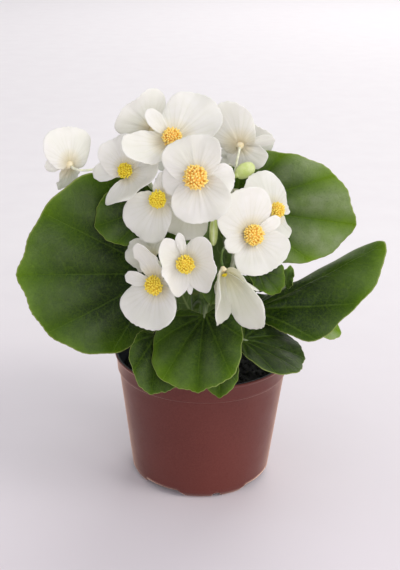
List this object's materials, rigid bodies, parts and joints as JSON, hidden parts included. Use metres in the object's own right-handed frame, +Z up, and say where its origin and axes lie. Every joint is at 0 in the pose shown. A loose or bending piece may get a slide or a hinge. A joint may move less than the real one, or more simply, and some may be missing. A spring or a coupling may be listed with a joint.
{
  "type": "potted begonia",
  "caption": "Wax begonia with broad rounded leaves and white four-tepalled blooms, growing in soil in a tapered plastic nursery pot.",
  "frame": {"origin": "middle of the pot's flat base pad, on the surface that the pot stands on", "axes": "+Z up, the plant's tallest direction; -Y towards the viewer of the reference view; +X to that viewer's right"},
  "size_m": [0.1963, 0.1744, 0.2256],
  "materials": {
    "pot": "satin",
    "soil": "matte",
    "stem": "satin",
    "leaf": "satin",
    "young_leaf": "satin",
    "tepal": "satin",
    "stamen": "matte"
  },
  "bodies": {
    "root": {"pot": "pot", "soil": "soil", "stem_left": "stem", "stem_right": "stem", "stem_front": "stem", "stem_front_right": "stem", "stem_front_left": "stem", "stem_back": "stem", "leaf_left_large": "leaf", "leaf_left_upper": "leaf", "leaf_right_upper": "leaf", "leaf_right_long": "leaf", "leaf_front_centre": "leaf", "leaf_front_left_low": "leaf", "leaf_front_low": "leaf", "leaf_rim_right": "leaf", "leaf_right_small": "leaf", "leaf_young_right": "young_leaf", "leaf_right_low_back": "leaf", "leaf_back_left": "leaf", "leaf_back_centre": "leaf", "leaf_back_right": "leaf", "leaf_back_upper": "leaf", "leaf_inner_centre": "leaf", "leaf_inner_right": "leaf", "leaf_young_front": "young_leaf", "bloom_far_left_tepals": "tepal", "bloom_far_left_stamens": "stamen", "bloom_upper_left_tepals": "tepal", "bloom_upper_left_stamens": "stamen", "bloom_left_centre_tepals": "tepal", "bloom_left_centre_stamens": "stamen", "bloom_top_left_tepals": "tepal", "bloom_top_left_stamens": "stamen", "bloom_top_centre_tepals": "tepal", "bloom_top_centre_stamens": "stamen", "bloom_top_right_tepals": "tepal", "bloom_top_right_stamens": "stamen", "bloom_centre_tepals": "tepal", "bloom_centre_stamens": "stamen", "bloom_under_centre_tepals": "tepal", "bloom_under_centre_stamens": "stamen", "bloom_right_centre_tepals": "tepal", "bloom_right_centre_stamens": "stamen", "bloom_right_side_tepals": "tepal", "bloom_right_side_stamens": "stamen", "bloom_low_centre_tepals": "tepal", "bloom_low_centre_stamens": "stamen", "bloom_low_left_tepals": "tepal", "bloom_low_left_stamens": "stamen", "bloom_low_behind_tepals": "tepal", "bloom_low_behind_stamens": "stamen", "bloom_low_right_tepals": "tepal", "bloom_low_right_stamens": "stamen", "bloom_back_left_tepals": "tepal", "bloom_back_left_stamens": "stamen", "bloom_back_right_tepals": "tepal", "bloom_back_right_stamens": "stamen", "bud_right": "young_leaf", "bud_centre": "young_leaf"}
  },
  "joints": []
}
